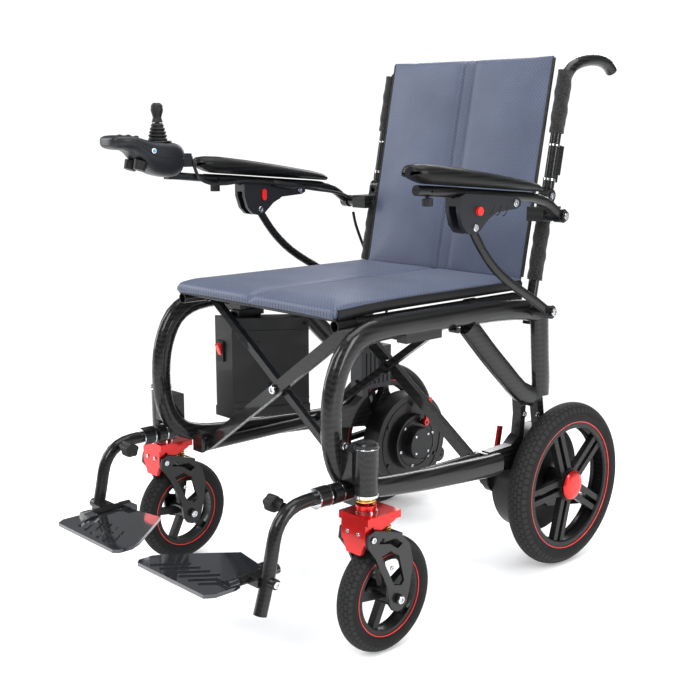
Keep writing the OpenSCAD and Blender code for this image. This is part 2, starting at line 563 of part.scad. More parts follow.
color("#1a1a1b") joystick_knob();
color("#141414") lead(lead_arm, 3);  // controller_lead_arm
color("#141414") lead(lead_frame, 3);  // controller_lead_frame
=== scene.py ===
import json
import math

import bmesh
import bpy
import numpy as np
from mathutils import Matrix, Vector

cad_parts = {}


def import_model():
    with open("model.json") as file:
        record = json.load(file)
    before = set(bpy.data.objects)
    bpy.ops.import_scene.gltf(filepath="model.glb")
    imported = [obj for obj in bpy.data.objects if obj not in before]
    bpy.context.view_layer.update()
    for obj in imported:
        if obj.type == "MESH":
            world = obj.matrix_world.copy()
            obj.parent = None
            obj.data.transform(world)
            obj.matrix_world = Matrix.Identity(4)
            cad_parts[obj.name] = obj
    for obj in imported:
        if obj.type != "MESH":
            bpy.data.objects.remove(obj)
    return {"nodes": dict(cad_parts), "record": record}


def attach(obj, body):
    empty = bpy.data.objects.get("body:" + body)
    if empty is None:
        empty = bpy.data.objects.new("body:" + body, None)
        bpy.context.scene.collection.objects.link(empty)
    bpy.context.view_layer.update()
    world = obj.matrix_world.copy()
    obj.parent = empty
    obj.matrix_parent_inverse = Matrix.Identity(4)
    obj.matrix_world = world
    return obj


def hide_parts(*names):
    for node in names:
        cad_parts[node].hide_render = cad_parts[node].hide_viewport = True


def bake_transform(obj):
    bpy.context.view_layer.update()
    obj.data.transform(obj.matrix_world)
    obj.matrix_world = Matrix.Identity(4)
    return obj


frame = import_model()
N = frame["nodes"]


def bounds_file():
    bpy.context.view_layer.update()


bounds_file()

scene = bpy.context.scene
SIDES = (("left", 1), ("right", -1))
LEAN = math.radians(10.9)
HINGE = Vector((0, 0.281, 0.695))
RAIL_Z = 0.236 + 0.4 * math.tan(math.radians(35))
SEAT_Z = RAIL_Z + 0.0115


def bf(x, y, z):
    """A point given in the backrest's own frame, in metres."""
    return Vector((x, HINGE.y + y * math.cos(LEAN) + z * math.sin(LEAN), HINGE.z - y * math.sin(LEAN) + z * math.cos(LEAN)))


# ------------------------------------------------------------------ materials
class Mat:
    def __init__(self, name):
        self.m = bpy.data.materials.new(name)
        self.m.use_nodes = True
        self.t = self.m.node_tree
        self.b = self.t.nodes["Principled BSDF"]
        self.normal = None

    def node(self, kind, **k):
        n = self.t.nodes.new(kind)
        for a, v in k.items():
            setattr(n, a, v)
        return n

    def link(self, a, b):
        self.t.links.new(a, b)

    def set(self, **k):
        for a, v in k.items():
            self.b.inputs[a.replace("_", " ")].default_value = v
        return self

    def coords(self):
        if not hasattr(self, "_c"):
            self._c = self.node("ShaderNodeTexCoord").outputs["Object"]
        return self._c

    def math(self, op, a, b=0.0, c=None):
        n = self.node("ShaderNodeMath", operation=op)
        for i, v in enumerate((a, b) if c is None else (a, b, c)):
            if isinstance(v, (int, float)):
                n.inputs[i].default_value = v
            else:
                self.link(v, n.inputs[i])
        return n.outputs[0]

    def noise(self, scale, detail=2.0, rough=0.5):
        n = self.node("ShaderNodeTexNoise")
        self.link(self.coords(), n.inputs["Vector"])
        n.inputs["Scale"].default_value = scale
        n.inputs["Detail"].default_value = detail
        n.inputs["Roughness"].default_value = rough
        return n.outputs["Fac"]

    def ramp(self, fac, stops):
        n = self.node("ShaderNodeValToRGB")
        while len(n.color_ramp.elements) < len(stops):
            n.color_ramp.elements.new(0.5)
        for e, (p, c) in zip(n.color_ramp.elements, stops):
            e.position = p
            e.color = (*c, 1) if not isinstance(c, (int, float)) else (c, c, c, 1)
        self.link(fac, n.inputs["Fac"])
        return n.outputs["Color"]

    def bump(self, height, strength, distance):
        n = self.node("ShaderNodeBump")
        n.inputs["Strength"].default_value = strength
        n.inputs["Distance"].default_value = distance
        self.link(height, n.inputs["Height"])
        if self.normal is not None:
            self.link(self.normal, n.inputs["Normal"])
        self.normal = n.outputs["Normal"]
        return self

    def bevel(self, radius):
        n = self.node("ShaderNodeBevel")
        n.samples = 3
        n.inputs["Radius"].default_value = radius
        self.normal = n.outputs["Normal"]
        return self

    def done(self, coat=False):
        if self.normal is not None:
            self.link(self.normal, self.b.inputs["Normal"])
        return self.m


def plain(name, color, rough, metallic=0.0, coat=0.0, bevel=0.0008, grain=0.0, grain_scale=900, vary=0.12):
    m = Mat(name).set(Roughness=rough, Metallic=metallic, Coat_Weight=coat, Coat_Roughness=0.06)
    m.bevel(bevel)
    if grain:
        m.bump(m.noise(grain_scale, 3), grain, 0.0004)
    r = m.noise(14, 4)
    a = tuple(max(0, c * (1 - vary)) for c in color)
    b = tuple(min(1, c * (1 + vary)) for c in color)
    m.link(m.ramp(r, [(0.3, a), (0.7, b)]), m.b.inputs["Base Color"])
    rr = m.node("ShaderNodeMapRange")
    m.link(m.noise(40, 4), rr.inputs["Value"])
    rr.inputs["To Min"].default_value = max(0.02, rough - 0.05)
    rr.inputs["To Max"].default_value = min(1.0, rough + 0.06)
    m.link(rr.outputs["Result"], m.b.inputs["Roughness"])
    return m.done()


def carbon(name, cell=0.0034, dark=0.0025, light=0.013, rough=0.34, coat=0.55, coat_rough=0.06, spec=0.25):
    """Twill: two-over two-under tows, each with its own sheen painted into the base colour, under a clear lacquer."""
    m = Mat(name).set(Metallic=0.0, Coat_Weight=coat, Coat_Roughness=coat_rough, Roughness=rough, Specular_IOR_Level=spec)
    m.bevel(0.0012)
    sep = m.node("ShaderNodeSeparateXYZ")
    m.link(m.coords(), sep.inputs[0])
    geo = m.node("ShaderNodeNewGeometry")
    nse = m.node("ShaderNodeVectorTransform", vector_type="NORMAL", convert_from="WORLD", convert_to="OBJECT")
    m.link(geo.outputs["Normal"], nse.inputs[0])
    ns = m.node("ShaderNodeSeparateXYZ")
    m.link(nse.outputs[0], ns.inputs[0])
    ax = m.math("ABSOLUTE", ns.outputs[0])
    side = m.math("GREATER_THAN", ax, 0.6)
    # sides are woven in y and z; the rest in x and the run of the tube
    run = m.math("ADD", sep.outputs[1], m.math("MULTIPLY", sep.outputs[2], 1.0))
    cross_ = m.math("SUBTRACT", sep.outputs[1], m.math("MULTIPLY", sep.outputs[2], 1.0))
    u1 = m.math("MULTIPLY", run, 0.7071 / cell)
    v1 = m.math("MULTIPLY", cross_, 0.7071 / cell)
    u2 = m.math("DIVIDE", m.math("ADD", sep.outputs[0], m.math("MULTIPLY", run, 0.7071)), cell * 1.2)
    v2 = m.math("DIVIDE", m.math("SUBTRACT", sep.outputs[0], m.math("MULTIPLY", run, 0.7071)), cell * 1.2)

    def mix(a, b):
        return m.math("ADD", m.math("MULTIPLY", side, a), m.math("MULTIPLY", m.math("SUBTRACT", 1.0, side), b))
    u, v = mix(u1, u2), mix(v1, v2)
    fu, fv = m.math("FLOOR", u), m.math("FLOOR", v)
    d = m.math("SUBTRACT", fu, fv)
    k = m.math("FLOORED_MODULO", d, 4.0)
    over = m.math("LESS_THAN", k, 1.5)
    # rounded tow profile, also used to paint a highlight along each tow's crown
    au = m.math("SINE", m.math("MULTIPLY", m.math("FRACT", u), math.pi))
    av = m.math("SINE", m.math("MULTIPLY", m.math("FRACT", v), math.pi))
    prof = m.math("ADD", m.math("MULTIPLY", over, au), m.math("MULTIPLY", m.math("SUBTRACT", 1.0, over), av))
    # painted sheen: the over tows are painted lighter than the under tows, and each tow lighter along its crown,
    # standing in for the lacquered fibres' reflection
    tone_with_painted_light = m.math("ADD", m.math("MULTIPLY", over, 0.75), m.math("MULTIPLY", prof, 0.25))
    m.link(m.ramp(tone_with_painted_light, [(0.05, dark), (0.95, light)]), m.b.inputs["Base Color"])
    rr = m.node("ShaderNodeMapRange")
    m.link(over, rr.inputs["Value"])
    rr.inputs["To Min"].default_value = rough
    rr.inputs["To Max"].default_value = rough + 0.18
    m.link(rr.outputs["Result"], m.b.inputs["Roughness"])
    m.link(m.normal, m.b.inputs["Coat Normal"])
    m.bump(prof, 0.22, 0.0004)
    return m.done()


def vinyl(name, color, back=False, perforated=True):
    """Upholstery with a fine grain and rows of small holes."""
    m = Mat(name).set(Roughness=0.46, Sheen_Weight=0.06, Specular_IOR_Level=0.42)
    sep = m.node("ShaderNodeSeparateXYZ")
    m.link(m.coords(), sep.inputs[0])
    a = sep.outputs[0]
    b = m.math("DIVIDE", sep.outputs[2], math.cos(LEAN)) if back else sep.outputs[1]
    p = 0.0072
    u = m.math("DIVIDE", a, p)
    v = m.math("DIVIDE", b, p * 0.5)
    row = m.math("FLOORED_MODULO", m.math("FLOOR", v), 2.0)
    u = m.math("ADD", u, m.math("MULTIPLY", row, 0.5))
    du = m.math("MULTIPLY", m.math("SUBTRACT", m.math("FRACT", u), 0.5), p)
    dv = m.math("MULTIPLY", m.math("SUBTRACT", m.math("FRACT", v), 0.5), p * 0.5)
    r = m.math("SQRT", m.math("ADD", m.math("MULTIPLY", du, du), m.math("MULTIPLY", dv, dv)))
    hole = m.math("SUBTRACT", 1.0, m.math("SMOOTH_MIN", m.math("DIVIDE", r, 0.00115), 1.0, 0.15)) if perforated else None
    dark = tuple(c * 0.86 for c in color)
    light = tuple(min(1, c * 1.12) for c in color)
    base = m.ramp(m.noise(9, 4), [(0.3, dark), (0.72, light)])
    if hole is not None:
        mx = m.node("ShaderNodeMix", data_type="RGBA")
        m.link(m.math("MINIMUM", m.math("MULTIPLY", hole, 1.5), 0.85), mx.inputs[0])
        m.link(base, mx.inputs[6])
        mx.inputs[7].default_value = (color[0] * 0.12, color[1] * 0.12, color[2] * 0.14, 1)
        m.link(mx.outputs[2], m.b.inputs["Base Color"])
        m.bump(m.math("SUBTRACT", 1.0, hole), 0.5, 0.0006)
    else:
        m.link(base, m.b.inputs["Base Color"])
    m.bump(m.noise(1500, 3, 0.6), 0.16, 0.0003)
    m.bump(m.noise(24, 3), 0.25, 0.002)
    return m.done()


def tyre_mat(name, centre, radius, width, teeth):
    """Rubber with a block tread on its crown and fine rings on its wall."""
    m = Mat(name).set(Roughness=0.72, Specular_IOR_Level=0.35)
    sep = m.node("ShaderNodeSeparateXYZ")
    m.link(m.coords(), sep.inputs[0])
    x = m.math("SUBTRACT", sep.outputs[0], centre[0])
    y = m.math("SUBTRACT", sep.outputs[1], centre[1])
    z = m.math("SUBTRACT", sep.outputs[2], centre[2])
    r = m.math("SQRT", m.math("ADD", m.math("MULTIPLY", y, y), m.math("MULTIPLY", z, z)))
    a = m.math("MULTIPLY", m.math("ARCTAN2", z, y), teeth / (2 * math.pi))
    rows = m.math("DIVIDE", x, width / 7.0)
    shift = m.math("MULTIPLY", m.math("FLOORED_MODULO", m.math("FLOOR", m.math("ADD", rows, 20.5)), 2.0), 0.5)
    fa = m.math("ABSOLUTE", m.math("SUBTRACT", m.math("FRACT", m.math("ADD", a, shift)), 0.5))
    fx = m.math("ABSOLUTE", m.math("SUBTRACT", m.math("FRACT", m.math("ADD", rows, 20.5)), 0.5))
    block = m.math("MULTIPLY", m.math("LESS_THAN", fa, 0.36), m.math("LESS_THAN", fx, 0.38))
    crown = m.node("ShaderNodeMapRange")
    m.link(r, crown.inputs["Value"])
    crown.inputs["From Min"].default_value = radius - width * 0.42
    crown.inputs["From Max"].default_value = radius - width * 0.30
    tread = m.math("MULTIPLY", block, crown.outputs["Result"])
    ridge = m.math("MULTIPLY", m.math("SINE", m.math("MULTIPLY", r, 2 * math.pi / 0.0035)), m.math("SUBTRACT", 1.0, crown.outputs["Result"]))
    h = m.math("ADD", tread, m.math("MULTIPLY", ridge, 0.10))
    # painted shade: the grooves between tread blocks and the wall are darker than the block tops; the noise adds random
    # tone
    tone_with_painted_light = m.math("ADD", m.math("MULTIPLY", tread, 0.5), m.math("MULTIPLY", m.noise(60, 3), 0.4))
    m.link(m.ramp(tone_with_painted_light, [(0.1, (0.006, 0.006, 0.0065)), (0.9, (0.030, 0.030, 0.031))]), m.b.inputs["Base Color"])
    m.bump(h, 0.9, 0.0022)
    return m.done()


def mesh_fabric(name):
    m = Mat(name).set(Roughness=0.86, Sheen_Weight=0.25)
    v = m.node("ShaderNodeTexVoronoi")
    m.link(m.coords(), v.inputs["Vector"])
    v.inputs["Scale"].default_value = 330
    c = m.ramp(v.outputs["Distance"], [(0.25, (0.003, 0.003, 0.003)), (0.6, (0.020, 0.020, 0.021))])
    m.link(c, m.b.inputs["Base Color"])
    m.bump(v.outputs["Distance"], 0.7, 0.0012)
    m.bump(m.noise(45, 3), 0.5, 0.003)
    return m.done()


M = {
    "carbon_frame": carbon("carbon_frame"),
    "black_tube": carbon("black_tube", cell=0.0026, light=0.010, coat=0.5),
    "rim_black": carbon("rim_black", cell=0.0026, light=0.012, rough=0.45, coat=0.35, coat_rough=0.2),
    "red_metal": plain("red_metal", (0.60, 0.012, 0.010), 0.3, metallic=0.75, coat=0.6),
    "red_plastic": plain("red_plastic", (0.72, 0.02, 0.014), 0.34, coat=0.5),
    "motor_metal": plain("motor_metal", (0.006, 0.006, 0.007), 0.4, metallic=0.2, coat=0.2, grain=0.2),
    "roller": plain("roller", (0.012, 0.012, 0.012), 0.6, grain=0.2),
    "gold_spring": plain("gold_spring", (0.75, 0.48, 0.16), 0.25, metallic=1.0, bevel=0.0002),
    "fork_metal": plain("fork_metal", (0.005, 0.005, 0.006), 0.34, metallic=0.1, coat=0.3),
    "seat_vinyl": vinyl("seat_vinyl", (0.087, 0.105, 0.160)),
    "arm_foam": carbon("arm_foam", cell=0.0026, dark=0.0025, light=0.010, rough=0.5, coat=0.22, coat_rough=0.22, spec=0.2),
    "dark_plastic": plain("dark_plastic", (0.009, 0.010, 0.013), 0.45, coat=0.08, grain=0.25, grain_scale=1400),
    "battery_case": plain("battery_case", (0.006, 0.006, 0.007), 0.45, coat=0.1, grain=0.4, grain_scale=900),
    "plate_plastic": plain("plate_plastic", (0.02, 0.022, 0.025), 0.10, coat=1.0, bevel=0.0012),
    "button_face": plain("button_face", (0.12, 0.32, 0.75), 0.25, coat=0.5),
    "boot_rubber": plain("boot_rubber", (0.008, 0.008, 0.009), 0.55, grain=0.15),
    "gimbal_metal": plain("gimbal_metal", (0.5, 0.5, 0.52), 0.35, metallic=1.0),
    "lead_sheath": plain("lead_sheath", (0.008, 0.008, 0.009), 0.45, bevel=0.0002),
}
VINYL_BACK = vinyl("seat_vinyl_back", (0.087, 0.105, 0.160), back=True)
SLEEVE = mesh_fabric("sleeve_mesh")
CHROME = plain("chrome_bolts", (0.62, 0.63, 0.65), 0.16, metallic=1.0, bevel=0.0003)
BLACK_BOLT = plain("black_bolts", (0.015, 0.015, 0.016), 0.3, metallic=0.6, bevel=0.0003)
TRIM = plain("edge_trim", (0.006, 0.006, 0.007), 0.5, coat=0.1, grain=0.3)
THREAD = plain("stitch_thread", (0.05, 0.06, 0.10), 0.6, bevel=0.0001)
WHITE = plain("pale_mark", (0.75, 0.78, 0.8), 0.4)

SLOT = {s["node"]: s["material_slot"] for s in frame["record"]["subparts"]}


def smooth_normals(o, limit=40.0):
    """Soft shading over facets that meet at less than the limit, with no change to any vertex."""
    me = o.data
    nv, nl, npoly = len(me.vertices), len(me.loops), len(me.polygons)
    co = np.empty(nv * 3, np.float32); me.vertices.foreach_get("co", co); co = co.reshape(-1, 3)
    lv = np.empty(nl, np.int32); me.loops.foreach_get("vertex_index", lv)
    pn = np.empty(npoly * 3, np.float32); me.polygons.foreach_get("normal", pn); pn = pn.reshape(-1, 3)
    area = np.empty(npoly, np.float32); me.polygons.foreach_get("area", area)
    tot = np.empty(npoly, np.int32); me.polygons.foreach_get("loop_total", tot)
    lp = np.repeat(np.arange(npoly), tot)
    key = np.round(co * 20000).astype(np.int64)
    _, grp = np.unique(key, axis=0, return_inverse=True)
    grp = np.asarray(grp).reshape(-1)
    g = grp[lv]
    order = np.argsort(g, kind="stable")
    cuts = np.flatnonzero(np.diff(g[order])) + 1
    out = pn[lp].copy()
    cosl = math.cos(math.radians(limit))
    for chunk in np.split(order, cuts):
        n = pn[lp[chunk]]
        if len(chunk) < 2:
            continue
        w = np.sqrt(area[lp[chunk]])[:, None]
        near = (n @ n.T) > cosl
        s = near.astype(np.float32) @ (n * w)
        ln = np.linalg.norm(s, axis=1, keepdims=True)
        out[chunk] = np.where(ln > 1e-9, s / np.maximum(ln, 1e-9), n)
    me.polygons.foreach_set("use_smooth", np.ones(npoly, bool))
    me.normals_split_custom_set([tuple(v) for v in out.tolist()])
    me.update()


def set_mat(o, m):
    o.data.materials.clear()
    o.data.materials.append(m)


for name, o in N.items():
    smooth_normals(o)
    set_mat(o, M[SLOT[name]]) if SLOT[name] in M else None
for s, g in SIDES:
    set_mat(N["drive_tyre_" + s], tyre_mat("tyre_rubber_drive_" + s, (g * 0.2425, 0.326, 0.155), 0.155, 0.044, 72))
    set_mat(N["caster_tyre_" + s], tyre_mat("tyre_rubber_caster_" + s, (g * 0.273, -0.185, 0.095), 0.095, 0.034, 52))


# ------------------------------------------------------------------ mesh helpers
def obj(name, verts, faces, mat, smooth=True):
    me = bpy.data.meshes.new(name)
    me.from_pydata([tuple(v) for v in verts], [], faces)
    me.update()
    o = bpy.data.objects.new(name, me)
    scene.collection.objects.link(o)
    if smooth:
        me.polygons.foreach_set("use_smooth", np.ones(len(me.polygons), bool))
    if mat is not None:
        me.materials.append(mat)
    return o


def bm_obj(name, bm, mat, smooth_angle=None):
    me = bpy.data.meshes.new(name)
    bm.normal_update()
    bm.to_mesh(me)
    bm.free()
    o = bpy.data.objects.new(name, me)
    scene.collection.objects.link(o)
    me.materials.append(mat)
    if smooth_angle is not None:
        smooth_normals(o, smooth_angle)
    return o


def add_cyl(bm, c, axis, r, h, n=24, r2=None, top_bevel=0.0):
    """A cylinder that starts at c and runs h along axis."""
    axis = Vector(axis).normalized()
    q = axis.to_track_quat("Z", "Y").to_matrix().to_4x4()
    r2 = r if r2 is None else r2
    rings = [(0, r), (h - top_bevel, r2), (h, r2 - top_bevel)] if top_bevel else [(0, r), (h, r2)]
    base = []
    for z, rr in rings:
        base.append([bm.verts.new(Vector(c) + q @ Vector((rr * math.cos(2 * math.pi * i / n), rr * math.sin(2 * math.pi * i / n), z))) for i in range(n)])
    for a, b in zip(base, base[1:]):
        for i in range(n):
            bm.faces.new((a[i], a[(i + 1) % n], b[(i + 1) % n], b[i]))
    bm.faces.new(list(reversed(base[0])))
    bm.faces.new(base[-1])


def add_box(bm, lo, hi, m=None):
    v = [Vector((x, y, z)) for x in (lo[0], hi[0]) for y in (lo[1], hi[1]) for z in (lo[2], hi[2])]
    if m is not None:
        v = [m @ p for p in v]
    v = [bm.verts.new(p) for p in v]
    for f in ((0, 1, 3, 2), (4, 6, 7, 5), (0, 4, 5, 1), (2, 3, 7, 6), (0, 2, 6, 4), (1, 5, 7, 3)):
        bm.faces.new([v[i] for i in f])


def add_torus(bm, c, axis, r, t, n=96, k=10, flat=1.0):
    axis = Vector(axis).normalized()
    q = axis.to_track_quat("Z", "Y").to_matrix()
    vs = []
    for i in range(n):
        a = 2 * math.pi * i / n
        for j in range(k):
            b = 2 * math.pi * j / k
            rr = r + t * math.cos(b)
            vs.append(bm.verts.new(Vector(c) + q @ Vector((rr * math.cos(a), rr * math.sin(a), t * flat * math.sin(b)))))
    for i in range(n):
        for j in range(k):
            i2, j2 = (i + 1) % n, (j + 1) % k
            bm.faces.new((vs[i * k + j], vs[i2 * k + j], vs[i2 * k + j2], vs[i * k + j2]))


def add_sphere(bm, c, r, sz=1.0, n=16):
    mat = Matrix.Translation(Vector(c)) @ Matrix.Diagonal((r, r, r * sz, 1))
    bmesh.ops.create_uvsphere(bm, u_segments=n, v_segments=n // 2, radius=1.0, matrix=mat)


def add_tube(bm, pts, rx, ry=None, n=16, up=(1, 0, 0), wob=None, flare=None):
    """A tube through pts; rx is across `up`, ry in the plane of the path."""
    ry = rx if ry is None else ry
    pts = [Vector(p) for p in pts]
    rings = []
    for i, p in enumerate(pts):
        t = (pts[min(i + 1, len(pts) - 1)] - pts[max(i - 1, 0)]).normalized()
        a = (Vector(up) - t * t.dot(Vector(up))).normalized()
        b = t.cross(a)
        k = 1.0 if flare is None else flare(i / (len(pts) - 1))
        ring = []
        for j in range(n):
            th = 2 * math.pi * j / n
            w = 1.0 if wob is None else wob(i / (len(pts) - 1), th)
            ring.append(bm.verts.new(p + a * rx * k * w * math.cos(th) + b * ry * k * w * math.sin(th)))
        rings.append(ring)
    for r1, r2 in zip(rings, rings[1:]):
        for j in range(n):
            bm.faces.new((r1[j], r1[(j + 1) % n], r2[(j + 1) % n], r2[j]))
    bm.faces.new(list(reversed(rings[0])))
    bm.faces.new(rings[-1])


def catmull(pts, k=6):
    pts = [Vector(p) for p in pts]
    out = []
    for i in range(len(pts) - 1):
        a, b, c, d = pts[max(i - 1, 0)], pts[i], pts[i + 1], pts[min(i + 2, len(pts) - 1)]
        for j in range(k):
            t = j / k
            out.append(0.5 * (2 * b + (c - a) * t + (2 * a - 5 * b + 4 * c - d) * t * t + (3 * b - a - 3 * c + d) * t ** 3))
    out.append(pts[-1])
    return out


def add_bolt(bm, c, axis, r=0.006, h=0.0032, hexed=True):
    """A socket-head bolt end with a sunk round recess."""
    axis = Vector(axis).normalized()
    q = axis.to_track_quat("Z", "Y").to_matrix()
    n = 24
    c = Vector(c)

    def ring(rr, z, k=n):
        return [bm.verts.new(c + q @ Vector((rr * math.cos(2 * math.pi * i / k), rr * math.sin(2 * math.pi * i / k), z))) for i in range(k)]
    rings = [ring(r, 0), ring(r, h * 0.75), ring(r * 0.88, h), ring(r * 0.52, h), ring(r * 0.46, h * 0.45)]
    for a, b in zip(rings, rings[1:]):
        for i in range(n):
            bm.faces.new((a[i], a[(i + 1) % n], b[(i + 1) % n], b[i]))
    bm.faces.new(list(reversed(rings[0])))
    bm.faces.new(rings[-1])


def ride(o, body):
    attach(o, body)
    return o


# ------------------------------------------------------------------ upholstery
def cushion_mesh(name, x0, x1, y0, y1, t0, t1, place, mat, press=4.0, rise=0.008, sew=(), edge_r=0.010, nx=100, ny=110):
    """A stuffed panel: a box of cloth blown up by cloth simulation, held along its edges and its sewn lines.
    x, y are in the panel's plane, t through it; place maps (x, y, t) to the row frame."""
    bm = bmesh.new()
    cols = nx
    rows_ = ny
    top = [[None] * (rows_ + 1) for _ in range(cols + 1)]
    bot = [[None] * (rows_ + 1) for _ in range(cols + 1)]

    def prof(u, lo, hi):
        d = min(u - lo, hi - u)
        if d >= edge_r:
            return 1.0
        return math.sqrt(max(0.0, 1 - (1 - d / edge_r) ** 2))
    tm = (t0 + t1) / 2
    for i in range(cols + 1):
        for j in range(rows_ + 1):
            x = x0 + (x1 - x0) * i / cols
            y = y0 + (y1 - y0) * j / rows_
            k = min(prof(x, x0, x1), prof(y, y0, y1))
            k = 0.25 + 0.75 * k
            top[i][j] = bm.verts.new((x, y, tm + (t1 - tm) * k))
            bot[i][j] = bm.verts.new((x, y, tm + (t0 - tm) * k))
    for i in range(cols):
        for j in range(rows_):
            bm.faces.new((top[i][j], top[i + 1][j], top[i + 1][j + 1], top[i][j + 1]))
            bm.faces.new((bot[i][j], bot[i][j + 1], bot[i + 1][j + 1], bot[i + 1][j]))
    for i in range(cols):
        bm.faces.new((top[i][0], bot[i][0], bot[i + 1][0], top[i + 1][0]))
        bm.faces.new((top[i][rows_], top[i + 1][rows_], bot[i + 1][rows_], bot[i][rows_]))
    for j in range(rows_):
        bm.faces.new((top[0][j], top[0][j + 1], bot[0][j + 1], bot[0][j]))
        bm.faces.new((top[cols][j], bot[cols][j], bot[cols][j + 1], top[cols][j + 1]))
    me = bpy.data.meshes.new(name)
    bm.to_mesh(me)
    bm.free()
    o = bpy.data.objects.new(name, me)
    scene.collection.objects.link(o)
    rest = np.array([v.co for v in me.vertices], float)

    def held(p):
        d = min(p[0] - x0, x1 - p[0], p[1] - y0, y1 - p[1])
        if d < 0.006:
            return 1.0
        for f in sew:
            if abs(f(p)) < 0.0042:
                return 1.0
        if p[2] < tm:
            return 1.0
        return 0.0
    vg = o.vertex_groups.new(name="pin")
    vg.add([i for i, p in enumerate(rest) if held(p) > 0.5], 1.0, "REPLACE")
    bpy.context.view_layer.objects.active = o
    mod = o.modifiers.new("cloth", "CLOTH")
    cs = mod.settings
    cs.quality = 6
    cs.mass = 0.3
    cs.tension_stiffness = 18
    cs.compression_stiffness = 12
    cs.shear_stiffness = 8
    cs.bending_stiffness = 1.6
    cs.use_pressure = True
    cs.uniform_pressure_force = press
    cs.effector_weights.gravity = 0
    cs.vertex_group_mass = "pin"
    mod.collision_settings.use_collision = False
    mod.collision_settings.use_self_collision = False
    mod.point_cache.frame_start = 1
    mod.point_cache.frame_end = 20
    for f in range(1, 21):
        scene.frame_set(f)
    dg = bpy.context.evaluated_depsgraph_get()
    ev = o.evaluated_get(dg).to_mesh()
    sim = np.array([v.co for v in ev.vertices], float)
    o.modifiers.remove(mod)
    scene.frame_set(1)
    d = sim - rest
    mx = np.abs(d[:, 2]).max()
    d *= min(1.0, rise / max(mx, 1e-6)) if mx > rise else 1.0
    if mx < rise * 0.5 and mx > 1e-5:
        d *= rise * 0.6 / mx
    new = rest + d
    # sewn channels sink into the panel
    for k, p in enumerate(new):
        if rest[k][2] > tm:
            for f in sew:
                q = abs(f(rest[k]))
                new[k][2] -= 0.0042 * math.exp(-(q / 0.0040) ** 2) + 0.0020 * math.exp(-(q / 0.012) ** 2)
    world = np.array([place(*p) for p in new], float)
    me.vertices.foreach_set("co", world.astype(np.float32).ravel())
    me.update()
    me.polygons.foreach_set("use_smooth", np.ones(len(me.polygons), bool))
    me.materials.append(mat)
    return o


# seat: one cover over both halves
SY0, SY1 = -0.229, 0.231
ST0, ST1 = SEAT_Z + 0.0005, SEAT_Z + 0.0235


def seat_place(x, y, z):
    # the front edge rolls down a little
    k = max(0.0, min(1.0, (-0.185 - y) / 0.044))
    return (x, y, z - 0.006 * k * k)


seat = cushion_mesh("seat_cushion", -0.205, 0.205, SY0, SY1, ST0, ST1, seat_place, M["seat_vinyl"], rise=0.0055,
                    sew=[lambda p: p[0]], edge_r=0.013)
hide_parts("seat_left", "seat_right")
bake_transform(seat)

# back: one simulated cover, cut along the centre and at the back hinge so that each quarter rides with its panel
BT = 0.0155


def back_place(x, y, t):
    p = bf(x, -0.0005 - t, y)
    return (p.x, p.y, p.z)


CH = 0.0105
back = cushion_mesh("back_cushion", -0.197, 0.197, -0.159, 0.246, 0.0, BT, lambda x, y, t: (x, y, t), VINYL_BACK, rise=0.0055,
                    sew=[lambda p: abs(p[0]) - CH], edge_r=0.011, nx=98, ny=100)


def cut(o, name, side, upper):
    c = o.copy()
    c.data = o.data.copy()
    c.name = name
    scene.collection.objects.link(c)
    bm = bmesh.new()
    bm.from_mesh(c.data)
    for co, no in (((0, 0, 0), (-side, 0, 0)), ((0, 0, 0), (0, -1 if upper else 1, 0))):
        r = bmesh.ops.bisect_plane(bm, geom=bm.verts[:] + bm.edges[:] + bm.faces[:], dist=1e-6, plane_co=co, plane_no=no, clear_outer=True)
        e = [x for x in r["geom_cut"] if isinstance(x, bmesh.types.BMEdge)]
        if e:
            bmesh.ops.holes_fill(bm, edges=e, sides=0)
    for v in bm.verts:
        # the back face is bevelled towards the cane, which leaves room for the fold
        x, y, t = v.co
        low = 0.0125 * max(0.0, min(1.0, (abs(x) - 0.148) / 0.048))
        v.co = Vector(back_place(x, y, low + t * (BT - low) / BT))
    bm.normal_update()
    bm.to_mesh(c.data)
    bm.free()
    return c


for s, g in SIDES:
    for part, up in (("upper", True), ("lower", False)):
        c = cut(back, "back_cushion_%s_%s" % (part, s), g, up)
        smooth_normals(c, 50)
        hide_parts("back_%s_%s" % (part, s))
        ride(c, "back_%s_panel_%s" % (part, s))
bpy.data.objects.remove(back)


# a helper for rows of stitches beside the seams; nothing here calls it
def stitches(name, pts, body, mat=THREAD, slot="seat_vinyl", length=0.0042, gap=0.0028, r=0.00055, up=(0, 0, 1)):
    bm = bmesh.new()
    pts = [Vector(p) for p in pts]
    for a, b in zip(pts, pts[1:]):
        n = int((b - a).length / (length + gap))
        d = (b - a) / max(n, 1)
        for i in range(n):
            p = a + d * (i + 0.2)
            q = a + d * (i + 0.2) + d.normalized() * length
            add_tube(bm, [p, (p + q) / 2 + Vector(up) * r * 0.8, q], r, n=5, up=up if abs(d.normalized().dot(Vector(up))) < 0.9 else (1, 0, 0))
    o = bm_obj(name, bm, mat)
    return ride(o, body)


